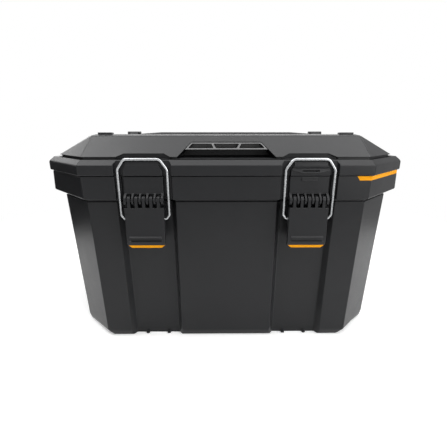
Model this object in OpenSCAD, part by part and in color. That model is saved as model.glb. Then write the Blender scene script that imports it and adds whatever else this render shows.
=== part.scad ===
// Toolbox with a hinged lid, two over-centre wire latches, a folding carry handle,
// two covered organiser bins in the lid and a lift-out tray.
// Millimetres. Origin at the centre of the base, +X to the right, front towards -Y, +Z up.

/* [Flange and rim] */
// Width over the lid's flange
lid_w = 508; // [470:1:560]
// Depth over the lid's flange
lid_d = 280; // [264:1:320]
// Corner cut of the flange, along each side
flange_cut = 73; // [60:1:85]
// Height of the tub's rim above the floor
rim_z = 241.5; // [220:0.5:280]
// Gap between the tub's rim and the lid's rim
rim_gap = 0.5; // [0.3:0.1:0.8]
// Height of the flange's upright face
flange_h = 12.6; // [11:0.1:16]
// Height of the bevel above the upright face
bevel_h = 6.4; // [4:0.1:7]
// How far the bevel leans in at the front and back
bevel_front_in = 5.8; // [4:0.1:7]
// How far the bevel leans in at the sides
bevel_side_in = 8; // [5:0.5:10]
// Thickness of the lid's rim
lid_rim_t = 9.5; // [8.5:0.1:11]

/* [Tub] */
// How far the collar stands back from the flange at the front
collar_front_in = 2; // [1:0.1:2.5]
// How far the collar stands back from the flange at the sides
collar_side_in = 3; // [1:0.1:5]
// Height of the collar
collar_h = 29.5; // [26:0.5:36]
// How much wider each side of the collar is at its lower edge
collar_flare = 3; // [0:0.5:4]
// Thickness of the collar's wall
collar_t = 7.5; // [6.5:0.1:8.5]
// Height of the groove under the collar
neck_h = 4; // [3:0.5:8]
// Depth of the groove under the collar
neck_in = 2; // [1:0.1:2.5]
// Wall thickness
wall = 4.5; // [3.5:0.1:5]
// Floor thickness
floor_t = 4; // [3:0.1:6]
// How far the lower wall stands back from the flange at the front
wall_front_in = 10; // [9.5:0.1:11]
// How far the lower wall stands back from the flange at the sides
wall_side_in = 23; // [18:0.5:26]
// Corner cut at the top of the lower wall
wall_cut = 53; // [45:1:60]
// Draft of the front wall, from its top to the base bevel
wall_front_draft = 7.5; // [5:0.1:9]
// Draft of the side walls, from their top to the base bevel
wall_side_draft = 7; // [4:0.1:12]
// Height of the bevel round the base
base_bevel_h = 10; // [6:0.5:16]
// How far the base bevel leans in
base_bevel_in = 3.5; // [2:0.1:6]
// Height of the tray ledge above the collar's lower edge
ledge_up = 4; // [3:0.1:6]

/* [Latch channels] */
// Distance of each latch from the middle
latch_x = 102.5; // [95:0.5:112]
// Half width of a channel at its mouth
channel_half = 37.5; // [36:0.5:40]
// How much the channel narrows on each side towards its floor
channel_slope = 6; // [3:0.5:8]
// Depth of a channel
channel_depth = 9; // [7:0.1:10]
// Width of the short ribs at a channel's foot
foot_rib_w = 5; // [3:0.5:7]
// Distance of the short ribs from the channel's middle
foot_rib_x = 16; // [12:0.5:20]

/* [Latches] */
// Radius of the wire
wire_r = 1.65; // [1.5:0.05:1.9]
// Half width of the bail between its legs' centre lines
bail_half = 30.2; // [28.6:0.1:30.5]
// Half length of the bail's top bar
bail_bar_half = 21.5; // [20.5:0.1:22]
// Height of the slanted corner of the bail
bail_corner_h = 12.4; // [9:0.1:13]
// Gap between the bail's bar and the lid's catch
bail_gap = 0.3; // [0.2:0.05:0.5]
// Slope of the catch, as its run over its rise
catch_slope = 0.47; // [0.4:0.01:0.48]
// Radius of the wire's bends at the lever, to its centre line
wire_bend_r = 3.4; // [3:0.1:4]
// Radius of the wire's bends at the bail's corners, to its centre line
corner_bend_r = 7; // [4:0.1:7]
// Half width of the plate between the bail's legs
plate_half = 24; // [23:0.1:24.5]
// Half width of the leg grooves' outer edges
groove_half = 35; // [34:0.5:36]
// Depth of the leg grooves from the flange's face
groove_depth = 5; // [4:0.1:5.5]
// Width of the deeper slit in the collar beside the plate
slit_w = 3.2; // [2:0.1:4]
// Depth of the slit below the leg groove
slit_depth = 2.5; // [1:0.1:2.5]
// Radius of the latch knuckles
knuckle_r = 6; // [5.5:0.1:6.2]
// How far a knuckle's back runs up the collar above its pin
knuckle_rise = 9; // [8.6:0.1:12]
// Radius of the latch pins
latch_pin_r = 2.5; // [2:0.1:2.8]
// Running clearance of each pin in a moving piece
run_gap = 0.06; // [0.03:0.01:0.1]
// Side clearance between neighbouring knuckles
side_gap = 0.35; // [0.3:0.05:0.6]
// Number of fingers on a lever
fingers = 5; // [3:1:6]
// Distance from finger to finger
finger_pitch = 9.1; // [9:0.1:9.4]
// Width of a lever's finger
finger_w = 3.6; // [3.5:0.1:4.2]
// Clearance round each finger in its slot
finger_gap = 1.5; // [0.6:0.1:1.6]
// Length of a lever below its pin, without the tip
lever_len = 58; // [50:0.5:64]
// Thickness of a lever at its grip
lever_t = 6; // [5.5:0.1:7]
// Distance from the lever's pin down to the bail's pivot
bail_pivot_down = 24; // [20:0.5:28]
// Length of the bail's pins in a lever's side
bail_pin_len = 7; // [5:0.5:10]
// Height of a grip ridge on the lever
ridge_h = 3.4; // [2.6:0.1:4]
// How far a grip ridge stands out
ridge_out = 2.2; // [1.4:0.1:3]
// Height of the yellow tip
tip_h = 3.5; // [3:0.5:6]
// How much the tip narrows on each side
tip_slope = 4.5; // [2:0.5:6]
// Height of the tongue that holds the tip
tip_tongue_h = 7; // [5:0.5:9]

/* [Lid top] */
// Depth of the shadow groove under the sloping panels
shadow_in = 3; // [2:0.1:3.5]
// Height of the panels' lower edge above the bevel
panel_up = 3; // [2:0.1:4]
// How far the panels' lower edge stands back from the flange at the front
panel_front_in = 9; // [8:0.1:10]
// How far the panels' lower edge stands back from the flange at the sides
panel_side_in = 22.5; // [18:0.5:26]
// Height of the sloping panels
panel_h = 25.2; // [24:0.1:30]
// How far the front and back panels lean in
panel_front_lean = 32; // [28:0.5:36]
// How far the side panels lean in
panel_side_lean = 41.5; // [36:0.5:44]
// Corner cut of the crest, along the front
crest_cut_x = 15; // [8:0.5:20]
// Corner cut of the crest, along the side
crest_cut_y = 31; // [20:0.5:36]
// Height of the small bevel round the top
top_bevel = 1.8; // [0.5:0.1:2.2]
// Thickness of the lid's shell
lid_t = 4; // [3:0.1:4.5]

/* [Hand pocket] */
// Half width of the pocket at its foot
pocket_half = 62; // [56:0.5:66]
// How much the pocket narrows on each side
pocket_slope = 17; // [12:0.5:20]
// Height of the pocket
pocket_h = 18.5; // [17:0.5:19]
// How far the pocket reaches back from the flange
pocket_depth = 48; // [44:0.5:50]
// Height of the grip bar
grip_h = 8.5; // [7:0.1:9.5]
// Rim of the grip bar round its cells
grip_rim = 1.8; // [1.4:0.1:2.4]
// Depth of the grip bar
grip_depth = 13; // [12:0.5:16]
// Half width of the middle cell
grip_cell = 14.5; // [12:0.1:16]

/* [Carry handle] */
// Distance from a bin's cover to the handle's arm beside it
handle_side_room = 21; // [18:0.5:28]
// Length of the handle's pins in the lid
handle_pin_in = 10; // [8:0.5:12]
// Distance from the pivots to the grip's outer edge
handle_reach = 78; // [74:0.5:79]
// Width of the grip
handle_grip_w = 22; // [18:0.5:24]
// Thickness of the handle
handle_t = 15; // [12:0.5:15]
// How much lower the arms are than the grip
handle_drop = 2; // [1:0.1:3]
// Length of the grip's slope towards each arm
handle_end = 30; // [14:1:36]
// Width of an arm
handle_arm_w = 12; // [10:0.5:14]
// Place of the pivots behind the lid's middle
handle_pivot_y = 4; // [2:0.5:6]
// Radius of the handle's pins
handle_pin_r = 3; // [2.5:0.1:3.5]
// Room round the handle in its well
handle_room = 3; // [2:0.5:4]
// Depth of the handle's well below the top
handle_well_depth = 20; // [19:0.5:21]
// Finger room between the grip and the island
finger_room = 22; // [20:0.5:24]

/* [Organiser bins] */
// Distance of each bin's middle from the lid's side
bin_side = 93; // [92:0.5:96]
// Width of a bin's cover
bin_w = 42; // [36:0.5:43]
// Front end of a cover, from the middle
bin_front = 65; // [56:0.5:67]
// Rear end of a cover, from the middle
bin_rear = 47; // [40:0.5:49]
// Thickness of a cover
cover_t = 2.8; // [2.2:0.1:3]
// Gap round a cover
cover_gap = 0.5; // [0.3:0.05:0.7]
// Width of the ledge that a cover lies on
cover_ledge = 2.5; // [2:0.1:3.5]
// Depth of a bin below its cover
bin_depth = 23; // [18:0.5:24]
// Radius of a cover's hinge knuckle
cover_knuckle_r = 3.2; // [2.8:0.1:3.6]
// Radius of a cover's hinge pin
cover_pin_r = 1.5; // [1.2:0.1:1.7]
// Width of a cover's hinge, over its ears
cover_hinge_w = 23; // [20:0.5:26]
// Width of one ear
cover_ear_w = 4; // [3:0.5:5]
// Width of a cover's finger tab
tab_w = 19; // [14:0.5:22]
// How far the tab reaches past the cover
tab_reach = 25; // [20:0.5:26]
// Thickness of the tab
tab_t = 1.8; // [1.5:0.1:2]
// Length of the raised pad at the tab's end
tab_pad = 8; // [6:0.5:12]

/* [Tray] */
// Depth of the tray below its rim
tray_depth = 54; // [40:1:70]
// Thickness of the tray's walls
tray_t = 2.5; // [2:0.1:3.5]
// Clearance of the tray's rim inside the collar
tray_gap = 1; // [0.6:0.1:2]
// Thickness of the tray's rim
tray_rim_t = 3; // [2:0.1:4]
// Gap between the tray's rim and its ledge
seat_gap = 0.3; // [0.2:0.05:0.5]
// Room between the tray's body and the tub's side walls
tray_side_room = 5.5; // [3.5:0.5:20]
// Room between the tray's body and the backs of the latch channels
tray_front_room = 3.5; // [2.5:0.5:20]
// Draft of the tray's walls
tray_draft = 3; // [1:0.5:5]
// Height of the tray's handle above its rim
tray_handle_h = 43; // [34:0.5:44]
// Half width of the tray's handle at its foot
tray_handle_half = 90; // [70:1:110]
// Thickness of the tray's handle
tray_handle_t = 9; // [6:0.5:14]
// Half width of the hole in the tray's handle
tray_hole_half = 50; // [40:1:60]
// Height of the hole in the tray's handle
tray_hole_h = 24; // [18:0.5:25]
// Thickness of a divider
divider_t = 2; // [1.5:0.1:3]
// Distance of a divider from the middle
divider_x = 74; // [50:1:100]
// Clearance of a divider in its guides
divider_gap = 0.3; // [0.2:0.05:0.5]

/* [Rear hinges and stripe] */
// Distance of each rear hinge from the middle
hinge_x = 135; // [110:1:140]
// Radius of the rear hinge knuckles
hinge_r = 5.5; // [4.5:0.1:6]
// Radius of the rear hinge pins
hinge_pin_r = 2.5; // [2:0.1:2.8]
// Gap between the flange and the tub's knuckles
hinge_gap = 0.5; // [0.4:0.1:1]
// Length of the lid's knuckle
lid_knuckle_w = 30; // [20:1:40]
// Length of each of the tub's knuckles
tub_knuckle_w = 18; // [12:1:24]
// Height of the stripe
stripe_h = 5.3; // [4:0.1:7]
// Depth of the stripe's seat
stripe_t = 0.8; // [0.6:0.1:1.2]
// Where the stripe starts, from the middle
stripe_x = 161; // [150:0.5:170]
// How far the stripe runs on past the side corner
stripe_wrap = 12; // [6:1:40]
// Width of the seal
seal_w = 2.4; // [2:0.1:2.6]
// Height of the seal
seal_h = 2.6; // [2:0.1:3]
// How far the seal stands back from the flange
seal_in = 6; // [5.8:0.1:6.4]

/* [Hidden] */
$fn = 48;
eps = 0.01;
past = 20;
wire_sides = 16;
wire_steps = 5;

half_w = lid_w / 2;
half_d = lid_d / 2;
collar_z = rim_z - collar_h;
wall_z = collar_z - neck_h;
ledge_z = collar_z + ledge_up;
lid_z = rim_z + rim_gap;
bevel_z = lid_z + flange_h;
flange_z = bevel_z + bevel_h;
panel_z = flange_z + panel_up;
crest_z = panel_z + panel_h;
top_z = crest_z + top_bevel;

// An outline is [half width, half depth, corner cut along X, corner cut along Y].
flange_o = [half_w, half_d, flange_cut, flange_cut];
flange_top_o = [half_w - bevel_side_in, half_d - bevel_front_in, flange_cut - 5, flange_cut - 5];
collar_o = [half_w - collar_side_in, half_d - collar_front_in, flange_cut - 1, flange_cut - 1];
collar_low_o = [collar_o[0] + collar_flare, collar_o[1] + 0.5, flange_cut + 3, flange_cut + 3];
wall_o = [half_w - wall_side_in, half_d - wall_front_in, wall_cut, wall_cut];
foot_o = [wall_o[0] - wall_side_draft, wall_o[1] - wall_front_draft, wall_cut - 5, wall_cut - 5];
base_o = [foot_o[0] - base_bevel_in / 7, foot_o[1] - base_bevel_in, wall_cut + 3, wall_cut - 5];
panel_o = [half_w - panel_side_in, half_d - panel_front_in, wall_cut, wall_cut];
crest_o = [panel_o[0] - panel_side_lean, panel_o[1] - panel_front_lean, crest_cut_x, crest_cut_y];
top_o = inset(crest_o, 4 * top_bevel);

draft_angle = atan(wall_front_draft / (wall_z - base_bevel_h));
front_y = -half_d;
groove_y = front_y + groove_depth;
bin_x = half_w - bin_side;
handle_half = bin_x - bin_w / 2 - handle_side_room;
tray_half_w = wall_o[0] - wall - tray_side_room;
tray_half_d = wall_o[1] - wall - channel_depth - tray_front_room;
pin_y = front_y + 0.5;
pin_z = collar_z;
pivot_y = pin_y + 0.5;
pivot_z = pin_z - bail_pivot_down;
catch_z = flange_z + 0.8;
catch_y = front_y + catch_slope * (catch_z - bevel_z);
bail_bar_y = catch_y - 2.35;
bail_bar_z = catch_z + bail_gap - 0.1;
lever_half = (fingers * finger_pitch + finger_w) / 2;
lever_y = pin_y - knuckle_r;
lever_low = pin_z - lever_len;
body_z = pin_z - knuckle_r - 2.6;
hinge_y = half_d + hinge_gap + hinge_r;
hinge_z = rim_z;
handle_top = top_z + 2.7;
handle_pivot_z = handle_top - (handle_t + handle_drop) / 2;
well_floor = top_z - handle_well_depth;
well_half = handle_half + handle_room;
well_front = handle_pivot_y - handle_reach - handle_room;
well_rear = handle_pivot_y + handle_t / 2 + handle_room;
island_half = handle_half - handle_arm_w - handle_room;
island_front = well_front + handle_room + handle_grip_w + finger_room;
grip_z = panel_z - 1.5 + pocket_h - grip_h;
pocket_z = panel_z - 1.5;
cover_z = top_z - 3;
tab_z = top_z - 2;
cover_hinge_y = bin_rear + 6;
cover_hinge_z = top_z + 1.5;
tray_z = ledge_z + seat_gap;
tray_top = tray_z + tray_rim_t;
handle_root_z = tray_top - 10;
tray_rim_o = inset(collar_o, collar_t + tray_gap);
tray_top_o = [tray_half_w, tray_half_d, wall_cut - 6, wall_cut - 6];
tray_low_o = inset(tray_top_o, tray_draft);

body_grey = [0.13, 0.13, 0.14];
trim_grey = [0.10, 0.10, 0.11];
yellow = [0.96, 0.66, 0.10];
zinc = [0.82, 0.83, 0.84];
tray_grey = [0.30, 0.30, 0.32];
rubber = [0.05, 0.05, 0.05];

function inset(o, w) = [o[0] - w, o[1] - w, o[2] - 0.586 * w, o[3] - 0.586 * w];
function corners(o) = [
    [o[0], -o[1] + o[3]], [o[0], o[1] - o[3]], [o[0] - o[2], o[1]], [-o[0] + o[2], o[1]],
    [-o[0], o[1] - o[3]], [-o[0], -o[1] + o[3]], [-o[0] + o[2], -o[1]], [o[0] - o[2], -o[1]]
];
function loft_sides(n) = [for (i = [0:n - 2]) for (j = [0:7]) let (k = (j + 1) % 8)
    each [[8 * i + j, 8 * i + 8 + j, 8 * i + 8 + k], [8 * i + j, 8 * i + 8 + k, 8 * i + k]]];

// Solid through a list of [height, outline].
module loft(layers) {
    n = len(layers);
    polyhedron(
        points = [for (s = layers) for (p = corners(s[1])) [p[0], p[1], s[0]]],
        faces = concat([[for (j = [0:7]) j]], [[for (j = [7:-1:0]) 8 * (n - 1) + j]], loft_sides(n)));
}

module prism(o, z0, z1) translate([0, 0, z0]) linear_extrude(z1 - z0) polygon(corners(o));

module block(low, high) translate(low) cube(high - low);

// Outline in Y and Z, run along X between two places.
module along_x(x0, x1, points)
    translate([x0, 0, 0]) rotate([90, 0, 90]) linear_extrude(x1 - x0) polygon(points);

// Outline in X and Z, run along Y between two places.
module along_y(y0, y1, points)
    translate([0, y1, 0]) rotate([90, 0, 0]) linear_extrude(y1 - y0) polygon(points);

// Upright with a round top, run along Y between two places.
module arch(half, z0, z1, y0, y1) {
    block([-half, y0, z0], [half, y1, z1 - half]);
    translate([0, y1, z1 - half]) rotate([90, 0, 0]) cylinder(r = half, h = y1 - y0);
}

module rod(x0, x1, y, z, r) translate([x0, y, z]) rotate([0, 90, 0]) cylinder(r = r, h = x1 - x0);

// ---- tub ----

module channel(grow) {
    m = channel_half + grow;
    f = channel_half - channel_slope + grow;
    d = channel_depth + grow;
    translate([0, -wall_o[1], wall_z]) rotate([draft_angle, 0, 0]) translate([0, 0, -wall_z - past / 2])
        linear_extrude(wall_z + past / 2 + neck_h)
            polygon([[-m, -past], [-m, 0], [-f, d], [f, d], [m, 0], [m, -past]]);
}

module tub_outer() {
    loft([[0, base_o], [base_bevel_h, foot_o], [wall_z, wall_o]]);
    prism(inset(wall_o, neck_in), wall_z - 1, collar_z + 1);
    loft([[collar_z, collar_low_o], [rim_z, collar_o]]);
}

module tub_shell() {
    difference() {
        union() {
            difference() {
                tub_outer();
                loft([[floor_t, inset(base_o, wall)], [base_bevel_h, inset(foot_o, wall)],
                    [ledge_z, inset(wall_o, wall)]]);
                prism(inset(collar_o, collar_t), ledge_z - eps, rim_z + 1);
            }
            for (s = [-1, 1]) intersection() {
                translate([s * latch_x, 0, 0]) channel(wall);
                loft([[0, base_o], [base_bevel_h, foot_o], [wall_z, wall_o]]);
            }
        }
        for (s = [-1, 1]) intersection() {
            translate([s * latch_x, 0, 0]) channel(0);
            block([-half_w, -half_d - past, -1], [half_w, 0, collar_z]);
        }
    }
}

module knuckle_mount() {
    along_x(-lever_half, lever_half, [
        [-collar_o[1] + 1, pin_z + knuckle_rise], [-collar_o[1] - 0.2, pin_z + knuckle_rise],
        [pin_y - knuckle_r * 0.7, pin_z + knuckle_r * 0.7], [pin_y, pin_z], [-collar_o[1] + 1, pin_z]
    ]);
    rod(-lever_half, lever_half, pin_y, pin_z, knuckle_r);
}

module finger_slots() {
    for (i = [0:fingers - 1]) {
        x = (i - (fingers - 1) / 2) * finger_pitch;
        w = finger_w / 2 + finger_gap;
        rod(x - w, x + w, pin_y, pin_z, knuckle_r + finger_gap);
        block([x - w, pin_y - past, pin_z - past], [x + w, pin_y, pin_z]);
        translate([x, 0, 0]) arch(w, pin_z - eps, pin_z + knuckle_rise + 1, pin_y - past, -collar_o[1] - 0.2);
    }
}

module leg_grooves(z0, z1) {
    for (s = [-1, 1]) {
        inner = s * (plate_half + 0.5);
        outer = s * groove_half;
        block([min(inner, outer), front_y - past, z0], [max(inner, outer), groove_y, z1]);
        slit = inner + s * slit_w;
        block([min(inner, slit), front_y - past, z0], [max(inner, slit), groove_y + slit_depth, z1]);
    }
}

module tub_hinge(x) {
    for (s = [-1, 1]) {
        x0 = x + (s > 0 ? lid_knuckle_w / 2 + side_gap : -lid_knuckle_w / 2 - side_gap - tub_knuckle_w);
        rod(x0, x0 + tub_knuckle_w, hinge_y, hinge_z, hinge_r);
        along_x(x0, x0 + tub_knuckle_w, [
            [collar_o[1] - 1, hinge_z - 3 * hinge_r], [hinge_y + hinge_r * 0.9, hinge_z - hinge_r * 0.4],
            [hinge_y, hinge_z], [collar_o[1] - 1, hinge_z]
        ]);
    }
}

module stripe_zone() {
    along_y(-half_d - past, -half_d + flange_cut + stripe_wrap, [
        [stripe_x, rim_z], [stripe_x + 3.5, rim_z - stripe_h],
        [half_w + past, rim_z - stripe_h], [half_w + past, rim_z]
    ]);
}

// Ramp on a front wall that leans out towards its foot; its lower edge bows down.
module lock_ramp(x, y, z, half, out, h, bow) {
    translate([x, 0, 0]) intersection() {
        along_y(y - out - 1, y + 1, concat([[-half, z + h], [-half, z + bow]],
            [for (i = [-5:5]) [half * i / 6, z + bow * pow(i / 6, 2)]], [[half, z + bow], [half, z + h]]));
        along_x(-half, half, [
            [y + 1, z], [y - out, z], [y - out, z + 0.8], [y + 0.5, z + h], [y + 1, z + h]
        ]);
    }
}

module tub() {
    color(body_grey) difference() {
        union() {
            tub_shell();
            for (s = [-1, 1]) translate([s * latch_x, 0, 0]) {
                knuckle_mount();
                for (r = [-1, 1]) translate([r * foot_rib_x - foot_rib_w / 2, -base_o[1] + 2, 0])
                    cube([foot_rib_w, channel_depth, 3]);
            }
            for (s = [-1, 1]) tub_hinge(s * hinge_x);
            lock_ramp(latch_x, -collar_o[1], rim_z - 6, 10, 2.4, 5.6, 0.8);
        }
        for (s = [-1, 1]) translate([s * latch_x, 0, 0]) {
            finger_slots();
            leg_grooves(collar_z - past, rim_z + 1);
            rod(-plate_half - 2, plate_half + 2, pin_y, pin_z, latch_pin_r);
        }
        for (s = [-1, 1]) rod(s * hinge_x - past * 2, s * hinge_x + past * 2, hinge_y, hinge_z, hinge_pin_r);
        difference() {
            stripe_zone();
            prism(inset(collar_o, stripe_t), 0, rim_z + 1);
        }
    }
}

module corner_stripe() {
    color(yellow) difference() {
        intersection() {
            loft([[collar_z, collar_low_o], [rim_z, collar_o]]);
            stripe_zone();
        }
        prism(inset(collar_o, stripe_t), 0, rim_z + 1);
    }
}

module hinge_pin(x) {
    half = lid_knuckle_w / 2 + side_gap + tub_knuckle_w;
    color(zinc) rod(x - half, x + half, hinge_y, hinge_z, hinge_pin_r);
}

module latch_pin(x) {
    color(zinc) rod(x - lever_half, x + lever_half, pin_y, pin_z, latch_pin_r);
}

// ---- lid ----

module panels() loft([[panel_z, panel_o], [crest_z, crest_o], [top_z, top_o]]);

module pocket_shape(grow, y0, y1) {
    h = pocket_h + grow;
    along_y(y0, y1, [
        [-pocket_half - grow, pocket_z - grow], [pocket_half + grow, pocket_z - grow],
        [pocket_half - pocket_slope + grow, pocket_z + h], [-pocket_half + pocket_slope - grow, pocket_z + h]
    ]);
}

module well_outline(grow) {
    difference() {
        block([-well_half - grow, well_front - grow, well_floor - grow],
            [well_half + grow, well_rear + grow, top_z + 1 - grow]);
        block(
            [-island_half + grow, island_front + grow, 0], [island_half - grow, well_rear + past, top_z + 2]
        );
    }
}

module lid_shell() {
    difference() {
        union() {
            prism(flange_o, lid_z, bevel_z);
            loft([[bevel_z, flange_o], [flange_z, flange_top_o]]);
        }
        difference() {
            prism(inset(panel_o, -1.5), flange_z - 2.5, flange_z + 1);
            prism(inset(panel_o, shadow_in), flange_z - 3, flange_z + 2);
        }
        prism(inset(flange_o, lid_rim_t), lid_z - 1, bevel_z - 1.4);
        prism(inset(panel_o, shadow_in + lid_t), bevel_z - 2, crest_z - 20);
    }
    difference() {
        union() {
            prism(inset(panel_o, shadow_in), flange_z - 3, panel_z + eps);
            panels();
        }
        loft([[flange_z - 4, inset(panel_o, shadow_in + lid_t)], [panel_z, inset(panel_o, shadow_in + lid_t)],
            [crest_z - lid_t, inset(crest_o, 1)]]);
    }
}

module catch_plate() {
    top = bail_bar_half - wire_r + 0.3;
    along_x(-top, top, [
        [front_y, bevel_z], [catch_y, catch_z], [catch_y + 2.5, catch_z], [catch_y + 4, flange_z - 2.4],
        [groove_y + 1, bevel_z - 2]
    ]);
}

module lid_latch_cut() {
    bar = bail_bar_half - wire_r + 0.3;
    for (s = [-1, 1]) scale_x(s) along_y(front_y - past, groove_y, [
        [plate_half, lid_z - 1], [groove_half, lid_z - 1], [groove_half, bevel_z + 1.5],
        [bail_bar_half + 4, flange_z + 7], [bar, flange_z + 7],
        [bar, bevel_z + 0.5], [plate_half, bevel_z - 6]
    ]);
    along_y(front_y - past, groove_y + 10.5, [
        [-groove_half - 1, flange_z + 0.9], [groove_half + 1, flange_z + 0.9],
        [groove_half + 1, flange_z + 2],
        [bail_bar_half + 3, panel_z + 4], [-bail_bar_half - 3, panel_z + 4], [-groove_half - 1, flange_z + 2]
    ]);
}

module scale_x(s) {
    if (s > 0) children();
    else mirror([1, 0, 0]) children();
}

module lid_hinge(x) {
    w = lid_knuckle_w / 2;
    rod(x - w, x + w, hinge_y, hinge_z, hinge_r);
    along_x(x - w, x + w, [
        [half_d - 1, lid_z], [half_d - 1, bevel_z - 1], [hinge_y + hinge_r * 0.9, hinge_z + hinge_r * 0.4],
        [hinge_y, hinge_z], [half_d + hinge_gap, lid_z]
    ]);
}

module bin_block(x) {
    half = bin_w / 2 - cover_ledge;
    block([x - half - 3, -bin_front + cover_ledge - 3, cover_z - bin_depth - 3],
        [x + half + 3, bin_rear - cover_ledge + 3, cover_z]);
}

module bin_cut(x) {
    half = bin_w / 2;
    block([x - half + cover_ledge, -bin_front + cover_ledge, cover_z - bin_depth],
        [x + half - cover_ledge, bin_rear - cover_ledge, top_z + 1]);
    block([x - half, -bin_front, cover_z - 0.2], [x + half, bin_rear, top_z + 1]);
    tab = tab_w / 2 + cover_gap;
    block([x - tab, -bin_front - tab_reach - cover_gap, tab_z - 0.2], [x + tab, -bin_front + 1, top_z + 1]);
    w = cover_hinge_w / 2 - cover_ear_w;
    block([x - w, bin_rear - 1, cover_z - 0.2], [x + w, cover_hinge_y + cover_knuckle_r + 1, top_z + 1]);
}

module bin_ears(x) {
    for (s = [-1, 1]) {
        x0 = x + (s > 0 ? cover_hinge_w / 2 - cover_ear_w : -cover_hinge_w / 2);
        rod(x0, x0 + cover_ear_w, cover_hinge_y, cover_hinge_z, cover_knuckle_r);
        block([x0, cover_hinge_y - cover_knuckle_r, top_z - 1],
            [x0 + cover_ear_w, cover_hinge_y + cover_knuckle_r, cover_hinge_z]);
    }
}

module lid() {
    color(body_grey) difference() {
        union() {
            lid_shell();
            intersection() {
                union() {
                    pocket_shape(3, front_y, front_y + pocket_depth + 3);
                    well_outline(3);
                    for (s = [-1, 1]) {
                        bin_block(s * bin_x);
                        block([s * latch_x - groove_half - 5, groove_y, flange_z - 4],
                            [s * latch_x + groove_half + 5, groove_y + 14, panel_z + 10]);
                    }
                }
                union() {
                    prism(inset(panel_o, shadow_in), flange_z - 5, panel_z + eps);
                    panels();
                }
            }
            for (s = [-1, 1]) {
                translate([s * latch_x, 0, 0]) catch_plate();
                lid_hinge(s * hinge_x);
                bin_ears(s * bin_x);
            }
            lock_ramp(latch_x, front_y, lid_z + 3.4, 22.5, 2.2, 5.8, 3.6);
        }
        for (s = [-1, 1]) {
            translate([s * latch_x, 0, 0]) lid_latch_cut();
            rod(s * hinge_x - past, s * hinge_x + past, hinge_y, hinge_z, hinge_pin_r + run_gap);
            bin_cut(s * bin_x);
            rod(s * bin_x - cover_hinge_w, s * bin_x + cover_hinge_w,
                cover_hinge_y, cover_hinge_z, cover_pin_r);
            handle_rod(s, 0, handle_pin_r);
        }
        pocket_shape(0, front_y - past, front_y + pocket_depth);
        well_outline(0);
        difference() {
            prism(inset(flange_o, seal_in), lid_z - 1, lid_z + seal_h - 0.2);
            prism(inset(flange_o, seal_in + seal_w), lid_z - 2, lid_z + seal_h);
        }
        block([latch_x - 10.5, front_y - past, lid_z + 5.6], [latch_x + 10.5, front_y + 3, lid_z + 7]);
        block([latch_x - 22.5, front_y - past, lid_z + 9.2], [latch_x + 22.5, front_y + 1.2, lid_z + 10.2]);
    }
}

module lid_seal() {
    color(rubber) difference() {
        prism(inset(flange_o, seal_in), lid_z - 0.2, lid_z + seal_h - 0.2);
        prism(inset(flange_o, seal_in + seal_w), lid_z - 1, lid_z + seal_h);
    }
}

module front_grip() {
    lean = panel_front_lean / panel_h;
    y0 = -panel_o[1] + (grip_z - panel_z) * lean + 1;
    y1 = y0 + grip_h * lean;
    back = y1 + grip_depth;
    low = grip_z + grip_rim;
    high = grip_z + grip_h - grip_rim;
    side = function (z) pocket_half - pocket_slope * (z - pocket_z) / pocket_h;
    color(trim_grey) difference() {
        intersection() {
            along_x(-pocket_half, pocket_half, [
                [y0, grip_z], [y1, grip_z + grip_h], [back, grip_z + grip_h], [back, grip_z]
            ]);
            pocket_shape(0, front_y, front_y + pocket_depth);
        }
        along_y(front_y, back - grip_rim, [
            [-grip_cell + 1.5, low], [grip_cell - 1.5, low], [grip_cell + 1.5, high], [-grip_cell - 1.5, high]
        ]);
        for (s = [-1, 1]) scale_x(s) along_y(front_y, back - grip_rim, [
            [grip_cell + 1.7, low], [side(low) - 3, low], [side(high) - 3, high], [grip_cell + 4.7, high]
        ]);
    }
}

// ---- carry handle ----

// Round through one arm of the handle and on into the lid.
module handle_rod(s, extra, r) {
    a = s * (handle_half - handle_arm_w - extra);
    b = s * (handle_half + handle_pin_in);
    rod(min(a, b), max(a, b), handle_pivot_y, handle_pivot_z, r);
}

module carry_handle() {
    z0 = handle_top - handle_t;
    arm_top = handle_top - handle_drop;
    color(trim_grey) difference() {
        union() {
            along_y(handle_pivot_y - handle_reach, handle_pivot_y - handle_reach + handle_grip_w, [
                [-handle_half, z0], [handle_half, z0], [handle_half, arm_top],
                [handle_half - handle_end, handle_top],
                [handle_end - handle_half, handle_top], [-handle_half, arm_top]
            ]);
            for (s = [-1, 1]) {
                x0 = s > 0 ? handle_half - handle_arm_w : -handle_half;
                block(
                    [x0, handle_pivot_y - handle_reach + 1, z0],
                    [x0 + handle_arm_w, handle_pivot_y, arm_top]
                );
                rod(x0, x0 + handle_arm_w, handle_pivot_y, handle_pivot_z, (arm_top - z0) / 2);
            }
        }
        for (s = [-1, 1]) handle_rod(s, 1, handle_pin_r + run_gap);
    }
}

module handle_pin(s) color(zinc) handle_rod(s, 0, handle_pin_r);

// ---- organiser covers ----

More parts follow.
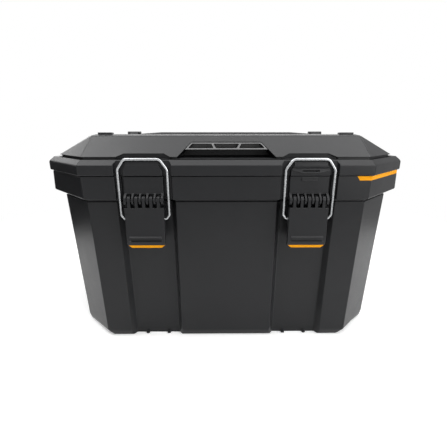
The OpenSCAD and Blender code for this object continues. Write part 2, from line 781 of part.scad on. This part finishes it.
module organiser_cover(x) {
    half = bin_w / 2 - cover_gap;
    w = cover_hinge_w / 2 - cover_ear_w - side_gap;
    color(trim_grey) difference() {
        union() {
            block([x - half, -bin_front + cover_gap, cover_z],
                [x + half, bin_rear - cover_gap, cover_z + cover_t]);
            block([x - tab_w / 2, -bin_front - tab_reach, tab_z],
                [x + tab_w / 2, -bin_front + 6, tab_z + tab_t]);
            block([x - tab_w / 2, -bin_front - tab_reach, tab_z],
                [x + tab_w / 2, -bin_front - tab_reach + tab_pad, top_z + 2.3]);
            rod(x - w, x + w, cover_hinge_y, cover_hinge_z, cover_knuckle_r);
            along_x(x - w, x + w, [
                [bin_rear - 2, cover_z], [bin_rear - 2, cover_z + cover_t],
                [cover_hinge_y - cover_knuckle_r * 0.7, cover_hinge_z + cover_knuckle_r * 0.7],
                [cover_hinge_y, cover_hinge_z], [cover_hinge_y, cover_hinge_z - cover_knuckle_r],
                [bin_rear + 1, cover_z]
            ]);
        }
        rod(x - past, x + past, cover_hinge_y, cover_hinge_z, cover_pin_r + run_gap);
    }
}

module organiser_pin(x) {
    half = cover_hinge_w / 2;
    color(zinc) rod(x - half, x + half, cover_hinge_y, cover_hinge_z, cover_pin_r);
}

// ---- latches ----

module tip_tongue() block([-lever_half + 8, lever_y + 2, lever_low - 1],
    [lever_half - 8, lever_y + 4, lever_low + tip_tongue_h]);

module latch_lever(x) {
    color(body_grey) translate([x, 0, 0]) difference() {
        union() {
            along_x(-lever_half, lever_half, [
                [lever_y, body_z], [lever_y, pivot_z], [lever_y - 1, lever_low + 14],
                [lever_y - 0.5, lever_low + 4], [lever_y + 1, lever_low], [lever_y + lever_t, lever_low],
                [lever_y + lever_t - 1, lever_low + 12], [pivot_y + 4.2, pivot_z - 5],
                [pivot_y + 4.2, pivot_z + 5], [pin_y + 4, body_z]
            ]);
            for (i = [0:fingers - 1]) {
                fx = (i - (fingers - 1) / 2) * finger_pitch;
                intersection() {
                    union() {
                        rod(fx - finger_w, fx + finger_w, pin_y, pin_z, knuckle_r);
                        block([fx - finger_w, lever_y, body_z - 1], [fx + finger_w, pin_y + 4, pin_z]);
                    }
                    translate([fx, 0, 0])
                        arch(
                            finger_w / 2, body_z - 2, pin_z + knuckle_r + 0.3,
                            lever_y - 1, pin_y + knuckle_r + 1
                        );
                }
            }
            for (z = [lever_low + 10.6, lever_low + 5])
                along_x(-lever_half + 4, lever_half - 4, [
                    [lever_y + 1, z + ridge_h],
                    [lever_y - 1 - ridge_out, z + 0.8], [lever_y - 1 - ridge_out, z],
                    [lever_y + 1, z]
                ]);
        }
        rod(-lever_half - 1, lever_half + 1, pin_y, pin_z, latch_pin_r + run_gap);
        for (s = [-1, 1]) scale_x(s)
            rod(lever_half - bail_pin_len, lever_half + 1, pivot_y, pivot_z, wire_r + run_gap);
        tip_tongue();
    }
}

module latch_tip(x) {
    color(yellow) translate([x, 0, 0]) {
        along_y(lever_y + 1, lever_y + lever_t, [
            [-lever_half + 1, lever_low], [lever_half - 1, lever_low],
            [lever_half - 1 - tip_slope, lever_low - tip_h], [-lever_half + 1 + tip_slope, lever_low - tip_h]
        ]);
        tip_tongue();
    }
}

function heading(a, b) = atan2(b[1] - a[1], b[0] - a[0]);

// A route is a list of [x, z, bend radius]. Each corner is rounded by short steps of [centre, heading].
function wire_bends(p) = [for (i = [1:len(p) - 2]) let (
    a = heading(p[i - 1], p[i]),
    turn = (heading(p[i], p[i + 1]) - a + 360) % 360,
    r = p[i][2],
    middle = [p[i][0], p[i][1]] - r * tan(turn / 2) * [cos(a), sin(a)] + r * [-sin(a), cos(a)])
    for (j = [0:wire_steps]) let (h = a + turn * j / wire_steps) [middle + r * [sin(h), -cos(h)], h]];

// Round wire along a route that only turns left.
module wire(route, r) {
    last = len(route) - 1;
    path = concat([[route[0], 0]], wire_bends(route), [[route[last], 0]]);
    n = wire_sides;
    polyhedron(
        points = [for (p = path) for (j = [0:n - 1]) let (u = 360 * j / n)
            [p[0][0] - r * cos(u) * sin(p[1]), r * sin(u), p[0][1] + r * cos(u) * cos(p[1])]],
        faces = concat([[for (j = [n - 1:-1:0]) j]], [[for (j = [0:n - 1]) n * (len(path) - 1) + j]],
            [for (i = [0:len(path) - 2]) for (j = [0:n - 1]) let (k = (j + 1) % n)
                each [[n * i + j, n * i + k, n * i + n + k], [n * i + j, n * i + n + k, n * i + n + j]]]));
}

module latch_bail(x) {
    rise = norm([bail_bar_y - pivot_y, bail_bar_z - pivot_z]);
    pin_start = lever_half - bail_pin_len + 0.5;
    half_route = [
        [pin_start + 1, 0, 0], [lever_half + 2, 0, wire_bend_r], [bail_half, 5, wire_bend_r],
        [bail_half, rise - bail_corner_h, corner_bend_r], [bail_bar_half, rise, corner_bend_r]
    ];
    route = concat(half_route,
        [for (i = [len(half_route) - 1:-1:0]) [-half_route[i][0], half_route[i][1], half_route[i][2]]]);
    color(zinc) translate([x, pivot_y, pivot_z]) rotate([-asin((bail_bar_y - pivot_y) / rise), 0, 0]) {
        wire(route, wire_r - 0.02);
        rod(pin_start, lever_half - 0.1, 0, 0, wire_r);
        rod(-lever_half + 0.1, -pin_start, 0, 0, wire_r);
    }
}

// ---- tray ----

module tray() {
    low = tray_z - tray_depth;
    hole_z = tray_top + tray_handle_h - 8 - tray_hole_h;
    color(tray_grey) difference() {
        union() {
            difference() {
                union() {
                    prism(tray_rim_o, tray_z, tray_top);
                    loft([[low, tray_low_o], [tray_z + eps, tray_top_o]]);
                }
                loft([[low + tray_t, inset(tray_low_o, tray_t)],
                    [tray_top + 1, inset(tray_top_o, tray_t)]]);
            }
            block([-tray_half_w + tray_draft, -tray_t / 2, low],
                [tray_half_w - tray_draft, tray_t / 2, tray_top]);
            along_y(-tray_handle_t / 2, tray_handle_t / 2, [
                [-tray_handle_half, handle_root_z], [tray_handle_half, handle_root_z],
                [tray_handle_half, tray_top],
                [tray_hole_half + 12, tray_top + tray_handle_h],
                [-tray_hole_half - 12, tray_top + tray_handle_h],
                [-tray_handle_half, tray_top]
            ]);
            for (s = [-1, 1]) for (g = [-1, 1]) {
                guide_x = s * divider_x + g * (divider_t / 2 + divider_gap + 1);
                block([guide_x - 1, -tray_half_d + tray_t - 1, low],
                    [guide_x + 1, -tray_half_d + tray_t + 5, tray_z]);
                block([guide_x - 1, -tray_t / 2 - 4, low], [guide_x + 1, 0, tray_z]);
            }
        }
        block([-tray_hole_half, -past, hole_z], [tray_hole_half, past, hole_z + tray_hole_h]);
    }
}

module tray_divider(x) {
    low = tray_z - tray_depth + tray_t;
    y0 = -tray_half_d + tray_t + tray_draft + divider_gap;
    color(trim_grey)
        block(
            [x - divider_t / 2, y0, low],
            [x + divider_t / 2, -tray_t / 2 - divider_gap, handle_root_z - 1]
        );
}

tub();
hinge_pin(-hinge_x);  // hinge_pin_left
hinge_pin(hinge_x);  // hinge_pin_right
latch_pin(-latch_x);  // latch_pin_left
latch_pin(latch_x);  // latch_pin_right
corner_stripe();
lid();
lid_seal();
front_grip();
handle_pin(-1);  // handle_pin_left
handle_pin(1);  // handle_pin_right
organiser_pin(-bin_x);  // organiser_pin_left
organiser_pin(bin_x);  // organiser_pin_right
carry_handle();
organiser_cover(-bin_x);  // organiser_cover_left
organiser_cover(bin_x);  // organiser_cover_right
latch_lever(-latch_x);  // latch_lever_left
latch_lever(latch_x);  // latch_lever_right
latch_tip(-latch_x);  // latch_tip_left
latch_tip(latch_x);  // latch_tip_right
latch_bail(-latch_x);  // latch_bail_left
latch_bail(latch_x);  // latch_bail_right
tray();
tray_divider(-divider_x);  // tray_divider_left
tray_divider(divider_x);  // tray_divider_right
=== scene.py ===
import math

import bmesh
import bpy
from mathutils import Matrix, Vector


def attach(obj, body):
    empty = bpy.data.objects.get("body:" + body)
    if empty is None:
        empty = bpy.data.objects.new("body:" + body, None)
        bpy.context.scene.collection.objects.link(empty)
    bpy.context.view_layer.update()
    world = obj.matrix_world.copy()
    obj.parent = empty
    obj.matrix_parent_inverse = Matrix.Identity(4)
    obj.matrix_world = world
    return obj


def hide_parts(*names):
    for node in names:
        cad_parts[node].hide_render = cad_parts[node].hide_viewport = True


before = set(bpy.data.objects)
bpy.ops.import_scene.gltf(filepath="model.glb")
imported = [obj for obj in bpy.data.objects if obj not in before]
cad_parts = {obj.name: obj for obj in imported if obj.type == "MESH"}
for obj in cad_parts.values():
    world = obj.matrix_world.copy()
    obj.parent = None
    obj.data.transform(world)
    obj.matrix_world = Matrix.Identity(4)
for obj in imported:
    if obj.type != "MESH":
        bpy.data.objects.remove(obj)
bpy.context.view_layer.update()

print("frame loaded:", len(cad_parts), "nodes")


def deselect():
    if bpy.context.mode != "OBJECT":
        bpy.ops.object.mode_set(mode="OBJECT")
    bpy.ops.object.select_all(action="DESELECT")


def pick(piece):
    deselect()
    piece.select_set(True)
    bpy.context.view_layer.objects.active = piece


def applyModifier(piece, kind, settings):
    pick(piece)
    modifier = piece.modifiers.new(kind.title(), kind)
    for name, value in settings.items():
        setattr(modifier, name, value)
    bpy.ops.object.modifier_apply(modifier=modifier.name)


def smoothBelow(piece, angle):
    pick(piece)
    bpy.ops.object.shade_smooth_by_angle(angle=math.radians(angle))


def finishPiece(piece, body, material, nodes):
    piece.data.materials.clear()
    piece.data.materials.append(material)
    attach(piece, body)
    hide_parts(*nodes)


# Lengths in metres and turns in degrees, shared by all copies of the construction's nodes.
copyShape = {"weldGap": 0.000002, "emptyEdge": 0.000001, "flatTurn": 0.4, "straightTurn": 179.6,
             "broadFace": 0.008, "broadTurn": 4, "farAway": 1.0, "smoothTurn": 32,
             "wireSmoothTurn": 50, "faceWeight": 100}


def joinFlatFaces(mesh):
    # The triangles of a flat face are joined, but never into a face with a hole in it.
    work = bmesh.new()
    work.from_mesh(mesh)
    bmesh.ops.remove_doubles(work, verts=work.verts, dist=copyShape["weldGap"])
    bmesh.ops.dissolve_degenerate(work, edges=work.edges, dist=copyShape["emptyEdge"])
    flatTurn = math.radians(copyShape["flatTurn"])
    flat = [edge for edge in work.edges
            if len(edge.link_faces) == 2 and edge.calc_face_angle(math.pi) < flatTurn]
    for edge in sorted(flat, key=lambda edge: -edge.calc_length()):
        if not edge.is_valid or len(edge.link_faces) != 2:
            continue
        first, second = edge.link_faces
        shared = set(first.edges) & set(second.edges)
        if first != second and len(set(first.verts) & set(second.verts)) == len(shared) + 1:
            bmesh.utils.face_join([first, second])
    for vertex in list(work.verts):
        if len(vertex.link_edges) == 2:
            a, b = (edge.other_vert(vertex).co - vertex.co for edge in vertex.link_edges)
            if a.angle(b, 0) > math.radians(copyShape["straightTurn"]):
                bmesh.utils.vert_dissolve(vertex)
    work.to_mesh(mesh)
    work.free()


def gapTo(point, start, end):
    along = end - start
    share = (point - start).dot(along) / max(along.length_squared, copyShape["emptyEdge"] ** 2)
    return (start + along * min(1.0, max(0.0, share)) - point).length


def weighEdges(piece, settings):
    # Each hard edge gets the round that its neighbours leave room for.
    mesh = piece.data
    points = [vertex.co.copy() for vertex in mesh.vertices]
    pointRoom = [copyShape["farAway"]] * len(points)
    edgeRoom = {edge.key: copyShape["farAway"] for edge in mesh.edges}
    sides = {}
    for face in mesh.polygons:
        longest = max((points[a] - points[b]).length for a, b in face.edge_keys)
        for key in face.edge_keys:
            sides.setdefault(key, []).append((face.normal.copy(), face.area / longest))
            a, b = key
            for other in face.vertices:
                if other == a or other == b:
                    gap = (points[a] - points[b]).length
                else:
                    gap = gapTo(points[other], points[a], points[b])
                    edgeRoom[key] = min(edgeRoom[key], gap)
                pointRoom[other] = min(pointRoom[other], gap)
    weights = mesh.attributes.new("bevel_weight_edge", "FLOAT", "EDGE")
    for edge in mesh.edges:
        around = sides.get(edge.key, [])
        if len(around) != 2:
            continue
        turn = math.degrees(around[0][0].angle(around[1][0], 0))
        broad = min(around[0][1], around[1][1]) > copyShape["broadFace"]
        if turn > settings["sharpAngle"] or (broad and turn > copyShape["broadTurn"]):
            a, b = edge.vertices
            free = settings["share"] * min(pointRoom[a], pointRoom[b], edgeRoom[edge.key])
            weights.data[edge.index].value = min(1.0, free / settings["round"])


def mergedCopy(nodeName, pieceName):
    piece = bpy.data.objects.new(pieceName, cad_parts[nodeName].data.copy())
    bpy.context.scene.collection.objects.link(piece)
    joinFlatFaces(piece.data)
    return piece


def roundedCopy(nodeName, pieceName, settings):
    piece = mergedCopy(nodeName, pieceName)
    weighEdges(piece, settings)
    applyModifier(piece, "BEVEL", {
        "limit_method": "WEIGHT", "width": settings["round"], "segments": settings["steps"],
        "use_clamp_overlap": False, "miter_outer": "MITER_ARC"})
    smoothBelow(piece, copyShape["smoothTurn"])
    applyModifier(piece, "WEIGHTED_NORMAL", {
        "weight": copyShape["faceWeight"], "keep_sharp": True})
    print("rounded", pieceName, len(piece.data.polygons), "faces")
    return piece


class Signal:  # one shader socket that can be used in plain arithmetic
    def __init__(self, socket):
        self.socket = socket

    @classmethod
    def node(cls, tree, kind, settings, values, output=0):
        made = tree.nodes.new(kind)
        for name, value in settings.items():
            setattr(made, name, value)
        for name, value in values.items():
            if isinstance(value, Signal):
                tree.links.new(value.socket, made.inputs[name])
            else:
                made.inputs[name].default_value = value
        return cls(made.outputs[output])

    def maths(self, operation, first, second):
        return Signal.node(self.socket.id_data, "ShaderNodeMath", {"operation": operation},
                           {0: first, 1: second})

    def __add__(self, other):
        return self.maths("ADD", self, other)

    def __sub__(self, other):
        return self.maths("SUBTRACT", self, other)

    def __rsub__(self, other):
        return self.maths("SUBTRACT", other, self)

    def __mul__(self, other):
        return self.maths("MULTIPLY", self, other)

    __radd__, __rmul__ = __add__, __mul__


def startMaterial(name):
    material = bpy.data.materials.new(name)
    material.use_nodes = True
    tree = material.node_tree
    place = Signal.node(tree, "ShaderNodeTexCoord", {}, {}, "Object")
    return material, tree, tree.nodes["Principled BSDF"], place


def connect(signal, shader, name):
    signal.socket.id_data.links.new(signal.socket, shader.inputs[name])


def noise(tree, place, size, detail, roughness):
    return Signal.node(tree, "ShaderNodeTexNoise", {}, {
        "Vector": place, "Scale": 1 / size, "Detail": detail, "Roughness": roughness})


def blendColours(tree, amount, low, high):
    return Signal.node(tree, "ShaderNodeMix", {"data_type": "RGBA"},
                       {0: amount, 6: (*low, 1), 7: (*high, 1)}, 2)  # 6 and 7 are the colours


def addBump(tree, shader, height, strength, depth):
    bump = Signal.node(tree, "ShaderNodeBump", {}, {
        "Strength": strength, "Distance": depth, "Height": height})
    connect(bump, shader, "Normal")


noiseMiddle = 0.5

# Detail and roughness of a plastic's patterns, and their shares in its tone, sheen and height.
plasticMix = {"cloudNoise": (3, 0.5), "flowNoise": (4, 0.6), "grainNoise": (2, 0.7),
              "cloudTone": 0.55, "flowTone": 0.3, "grainTone": 0.15, "grainSheen": 0.08,
              "grainHeight": 0.6, "sparkHeight": 0.4, "depth": 0.25}


def mouldedPlastic(name, look):
    material, tree, shader, place = startMaterial(name)
    mix = plasticMix
    cloud = noise(tree, place, look["cloudSize"], *mix["cloudNoise"])
    flow = noise(tree, place, look["flowSize"], *mix["flowNoise"])
    grain = noise(tree, place, look["grainSize"], *mix["grainNoise"])
    spark = Signal.node(tree, "ShaderNodeTexVoronoi", {"feature": "F1"},
                        {"Vector": place, "Scale": 1 / look["grainSize"]})
    tone = cloud * mix["cloudTone"] + flow * mix["flowTone"] + grain * mix["grainTone"]
    connect(blendColours(tree, tone, look["dark"], look["light"]), shader, "Base Color")
    flowSheen = (flow - noiseMiddle) * look["roughSpread"]
    grainSheen = (grain - noiseMiddle) * mix["grainSheen"]
    connect(look["roughness"] + flowSheen + grainSheen, shader, "Roughness")
    height = grain * mix["grainHeight"] + spark * mix["sparkHeight"]
    addBump(tree, shader, height, look["bump"], look["grainSize"] * mix["depth"])
    shader.inputs["Specular IOR Level"].default_value = look["gloss"]
    return material


# The same for plated steel: cloudy patches and fine hairs.
steelMix = {"patchNoise": (4, 0.6), "hairNoise": (2, 0.6), "patchSheen": 0.22, "hairSheen": 0.1,
            "hairHeight": 0.6, "patchHeight": 0.4, "depth": 0.3}


def platedSteel(name, look):
    material, tree, shader, place = startMaterial(name)
    mix = steelMix
    patch = noise(tree, place, look["patchSize"], *mix["patchNoise"])
    hairs = noise(tree, place, look["hairSize"], *mix["hairNoise"])
    connect(blendColours(tree, patch, look["dark"], look["light"]), shader, "Base Color")
    patchSheen = (patch - noiseMiddle) * mix["patchSheen"]
    hairSheen = (hairs - noiseMiddle) * mix["hairSheen"]
    connect(look["roughness"] + patchSheen + hairSheen, shader, "Roughness")
    height = hairs * mix["hairHeight"] + patch * mix["patchHeight"]
    addBump(tree, shader, height, look["bump"], look["hairSize"] * mix["depth"])
    shader.inputs["Metallic"].default_value = 1.0
    return material


shellLook = {"dark": (0.0080, 0.0083, 0.0092), "light": (0.0150, 0.0153, 0.0164),
             "cloudSize": 0.16, "flowSize": 0.022, "grainSize": 0.0011, "roughness": 0.33,
             "roughSpread": 0.10, "bump": 0.30, "gloss": 0.20}
trimLook = {"dark": (0.0110, 0.0112, 0.0120), "light": (0.0210, 0.0213, 0.0224),
            "cloudSize": 0.05, "flowSize": 0.012, "grainSize": 0.0008, "roughness": 0.33,
            "roughSpread": 0.08, "bump": 0.22, "gloss": 0.24}
gripLook = {"dark": (0.0140, 0.0142, 0.0150), "light": (0.0260, 0.0263, 0.0274),
            "cloudSize": 0.05, "flowSize": 0.012, "grainSize": 0.0008, "roughness": 0.30,
            "roughSpread": 0.08, "bump": 0.20, "gloss": 0.56}
yellowLook = {"dark": (0.66, 0.255, 0.003), "light": (0.80, 0.33, 0.006), "cloudSize": 0.03,
              "flowSize": 0.006, "grainSize": 0.0006, "roughness": 0.45, "roughSpread": 0.08,
              "bump": 0.12, "gloss": 0.08}
trayLook = {"dark": (0.016, 0.0165, 0.018), "light": (0.027, 0.0275, 0.029), "cloudSize": 0.10,
            "flowSize": 0.020, "grainSize": 0.0010, "roughness": 0.50, "roughSpread": 0.10,
            "bump": 0.26, "gloss": 0.34}
sealLook = {"dark": (0.006, 0.006, 0.006), "light": (0.014, 0.014, 0.014), "cloudSize": 0.04,
            "flowSize": 0.006, "grainSize": 0.0007, "roughness": 0.72, "roughSpread": 0.08,
            "bump": 0.20, "gloss": 0.25}
wireLook = {"dark": (0.22, 0.225, 0.23), "light": (0.50, 0.51, 0.52), "patchSize": 0.004,
            "hairSize": 0.0006, "roughness": 0.26, "bump": 0.18}
# Dark steel: partly the pins' own dark finish, partly painted shade so the slots they sit in
# look dark.
pinLook = {"dark": (0.045, 0.046, 0.048), "light": (0.09, 0.092, 0.096), "patchSize": 0.004,
           "hairSize": 0.0005, "roughness": 0.34, "bump": 0.15}

shellPlastic = mouldedPlastic("grained charcoal plastic", shellLook)
trimPlastic = mouldedPlastic("satin black plastic", trimLook)
gripPlastic = mouldedPlastic("smooth grip plastic", gripLook)
yellowPlastic = mouldedPlastic("yellow plastic", yellowLook)
trayPlastic = mouldedPlastic("tray plastic", trayLook)
sealRubber = mouldedPlastic("seal rubber", sealLook)
wireSteel = platedSteel("zinc plated wire", wireLook)
pinSteel = platedSteel("dark plated pins with painted slot shade", pinLook)
print("finishes made")


# Each piece is a copy of its node with rounded edges: the widest round, the share of the
# free room that a round may take, its steps, and the turn from which an edge is hard.
tubShape = {"round": 0.0024, "share": 0.32, "steps": 3, "sharpAngle": 24}
tub = roundedCopy("tub", "tubMoulding", tubShape)
finishPiece(tub, "tub", shellPlastic, ["tub"])

stripeShape = {"round": 0.0004, "share": 0.3, "steps": 2, "sharpAngle": 30}
stripe = roundedCopy("corner_stripe", "cornerStripe", stripeShape)
finishPiece(stripe, "tub", yellowPlastic, ["corner_stripe"])

lidShape = {"round": 0.0020, "share": 0.32, "steps": 3, "sharpAngle": 24}
lid = roundedCopy("lid", "lidMoulding", lidShape)
finishPiece(lid, "lid", shellPlastic, ["lid"])

sealShape = {"round": 0.0007, "share": 0.4, "steps": 3, "sharpAngle": 30}
seal = roundedCopy("lid_seal", "lidSeal", sealShape)
finishPiece(seal, "lid", sealRubber, ["lid_seal"])

gripShape = {"round": 0.0007, "share": 0.35, "steps": 2, "sharpAngle": 30}
grip = roundedCopy("front_grip", "frontGrip", gripShape)
finishPiece(grip, "lid", gripPlastic, ["front_grip"])

handleShape = {"round": 0.0035, "share": 0.4, "steps": 4, "sharpAngle": 30}
handle = roundedCopy("carry_handle", "carryHandle", handleShape)
finishPiece(handle, "carry_handle", trimPlastic, ["carry_handle"])

coverShape = {"round": 0.0007, "share": 0.35, "steps": 2, "sharpAngle": 30}
leverShape = {"round": 0.0010, "share": 0.35, "steps": 3, "sharpAngle": 26}
tipShape = {"round": 0.0006, "share": 0.35, "steps": 2, "sharpAngle": 30}
for side in ("left", "right"):
    node = "organiser_cover_" + side
    cover = roundedCopy(node, "organiserCover." + side, coverShape)
    finishPiece(cover, "cover_" + side, trimPlastic, [node])
    node = "latch_lever_" + side
    lever = roundedCopy(node, "latchLever." + side, leverShape)
    finishPiece(lever, "lever_" + side, shellPlastic, [node])
    node = "latch_tip_" + side
    tip = roundedCopy(node, "leverTip." + side, tipShape)
    finishPiece(tip, "lever_" + side, yellowPlastic, [node])
print("latches and covers made")

trayShape = {"round": 0.0010, "share": 0.35, "steps": 2, "sharpAngle": 26}
tray = roundedCopy("tray", "trayMoulding", trayShape)
finishPiece(tray, "tray", trayPlastic, ["tray"])
dividerShape = {"round": 0.0005, "share": 0.4, "steps": 2, "sharpAngle": 30}
for side in ("left", "right"):
    node = "tray_divider_" + side
    divider = roundedCopy(node, "trayDivider." + side, dividerShape)
    finishPiece(divider, "tray", trimPlastic, [node])
print("tray made")

pinShape = {"round": 0.0004, "share": 0.3, "steps": 2, "sharpAngle": 40}
pinBodies = {"hinge": "tub", "latch": "tub", "handle": "lid", "organiser": "lid"}
for side in ("left", "right"):
    node = "latch_bail_" + side
    bail = mergedCopy(node, "latchBail." + side)
    smoothBelow(bail, copyShape["wireSmoothTurn"])
    finishPiece(bail, "bail_" + side, wireSteel, [node])
    for place, body in pinBodies.items():
        node = place + "_pin_" + side
        pin = roundedCopy(node, place + "Pin." + side, pinShape)
        finishPiece(pin, body, pinSteel, [node])
print("pins and bails made")


stageLook = {"floorSize": 30.0, "floorColour": (0.86, 0.86, 0.86), "dustShare": 0.99,
             "dustSize": 0.4, "dustNoise": (2, 0.5), "roughness": 0.8, "gloss": 0.1,
             "nearGlow": 0.32, "fadeFrom": 0.42, "fadeTo": 0.95, "worldFill": 0.25}


def seenRays(tree):
    # 1 for what the camera sees straight, mirrored or through glass, 0 for light on the object.
    straight = Signal.node(tree, "ShaderNodeLightPath", {}, {}, "Is Camera Ray")
    rays = straight.socket.node.outputs
    mirrored = straight.maths("MAXIMUM", straight, Signal(rays["Is Glossy Ray"]))
    return straight.maths("MAXIMUM", mirrored, Signal(rays["Is Transmission Ray"]))


def makeStage(look):
    deselect()
    bpy.ops.mesh.primitive_plane_add(size=look["floorSize"], location=(0, 0, 0))
    floor = bpy.context.active_object
    floor.name = "studioFloor"
    material, tree, shader, place = startMaterial("white floor")
    dust = noise(tree, place, look["dustSize"], *look["dustNoise"])
    dustColour = tuple(look["dustShare"] * part for part in look["floorColour"])
    connect(blendColours(tree, dust, dustColour, look["floorColour"]), shader, "Base Color")
    shader.inputs["Roughness"].default_value = look["roughness"]
    shader.inputs["Specular IOR Level"].default_value = look["gloss"]
    seen = seenRays(tree)
    connect(blendColours(tree, seen, (0, 0, 0), (1, 1, 1)), shader, "Emission Color")
    shader.inputs["Emission Strength"].default_value = look["nearGlow"]
    away = Signal.node(tree, "ShaderNodeVectorMath", {"operation": "LENGTH"}, {0: place}, 1)
    fade = Signal.node(tree, "ShaderNodeMapRange", {"interpolation_type": "SMOOTHSTEP"}, {
        "Value": away, "From Min": look["fadeFrom"], "From Max": look["fadeTo"]})
    glow = Signal.node(tree, "ShaderNodeEmission", {}, {"Strength": 1})
    mix = Signal.node(tree, "ShaderNodeMixShader", {}, {
        0: fade * seen, 1: Signal(shader.outputs[0]), 2: glow})
    connect(mix, tree.nodes["Material Output"], "Surface")
    floor.data.materials.append(material)
    world = bpy.data.worlds.new("studio")
    bpy.context.scene.world = world
    world.use_nodes = True
    background = world.node_tree.nodes["Background"]
    background.inputs["Color"].default_value = (1, 1, 1, 1)
    fill = look["worldFill"]
    connect(seenRays(world.node_tree) * (1 - fill) + fill, background, "Strength")


lampLooks = {
    "overheadBox": {"place": (0, -0.13, 1.25), "aim": (0, -0.09, 0.2),
                    "size": (2.0, 0.75), "power": 18},
    "overheadLeft": {"place": (-0.75, -0.09, 1.24), "aim": (-0.15, -0.12, 0.2),
                     "size": (0.9, 0.55), "power": 4},
    "leftBox": {"place": (-1.4, -0.7, 0.5), "aim": (0, 0, 0.12),
                "size": (0.8, 0.8), "power": 1},
    "rightBox": {"place": (1.0, -1.0, 0.7), "aim": (0.1, 0, 0.18),
                 "size": (1.1, 1.2), "power": 18},
}


def addLamp(name, look):
    data = bpy.data.lights.new(name, "AREA")
    data.shape = "RECTANGLE"
    data.size, data.size_y = look["size"]
    data.energy = look["power"]
    lamp = bpy.data.objects.new(name, data)
    bpy.context.scene.collection.objects.link(lamp)
    lamp.location = look["place"]
    aim = Vector(look["aim"]) - Vector(look["place"])
    lamp.rotation_euler = aim.to_track_quat("-Z", "Y").to_euler()


cameraLook = {"place": (-0.00665, -0.50217, 0.2909), "down": 16.76, "turn": -0.45,
              "lens": 23.87, "sensor": 36}


def addCamera(look):
    data = bpy.data.cameras.new("camera")
    data.lens = look["lens"]
    data.sensor_width = look["sensor"]
    camera = bpy.data.objects.new("camera", data)
    bpy.context.scene.collection.objects.link(camera)
    camera.location = look["place"]
    camera.rotation_euler = (math.radians(90 - look["down"]), 0, math.radians(look["turn"]))
    bpy.context.scene.camera = camera


# Painted reflections: the left card is a dark sheet, the right card a grey glow, the back card
# a bright glow that paints a highlight on the shell.
cardLooks = {
    "leftCard": {"place": (-0.62, 0.42, 0.17), "turn": 90, "size": (1.35, 0.34), "reflectionGlow": 0.02},
    "rightCard": {"place": (0.66, 0.42, 0.33), "turn": 90, "size": (1.35, 0.66), "reflectionGlow": 0.45},
    "backCard": {"place": (0, 1.15, 0.66), "turn": 0, "size": (4.0, 0.6), "reflectionGlow": 2.5},
}


def addCard(name, look):
    # Each card at the edge of the set glows to paint a dark, grey or bright reflection on the
    # object and is seen by nothing else.
    deselect()
    upright = (math.radians(90), 0, math.radians(look["turn"]))
    bpy.ops.mesh.primitive_plane_add(size=1, location=look["place"], rotation=upright)
    card = bpy.context.active_object
    card.name = name
    card.scale = (*look["size"], 1)
    bpy.ops.object.transform_apply(location=True, rotation=True, scale=True)
    material, tree, shader, place = startMaterial(name)
    shader.inputs["Base Color"].default_value = (0, 0, 0, 1)
    shader.inputs["Specular IOR Level"].default_value = 0
    shader.inputs["Emission Color"].default_value = (1, 1, 1, 1)
    shader.inputs["Emission Strength"].default_value = look["reflectionGlow"]
    card.data.materials.append(material)
    card.visible_camera = card.visible_diffuse = card.visible_shadow = False


makeStage(stageLook)
for name, look in cardLooks.items():
    addCard(name, look)
for name, look in lampLooks.items():
    addLamp(name, look)
addCamera(cameraLook)
bpy.context.scene.view_settings.view_transform = "Standard"
print("stage ready")
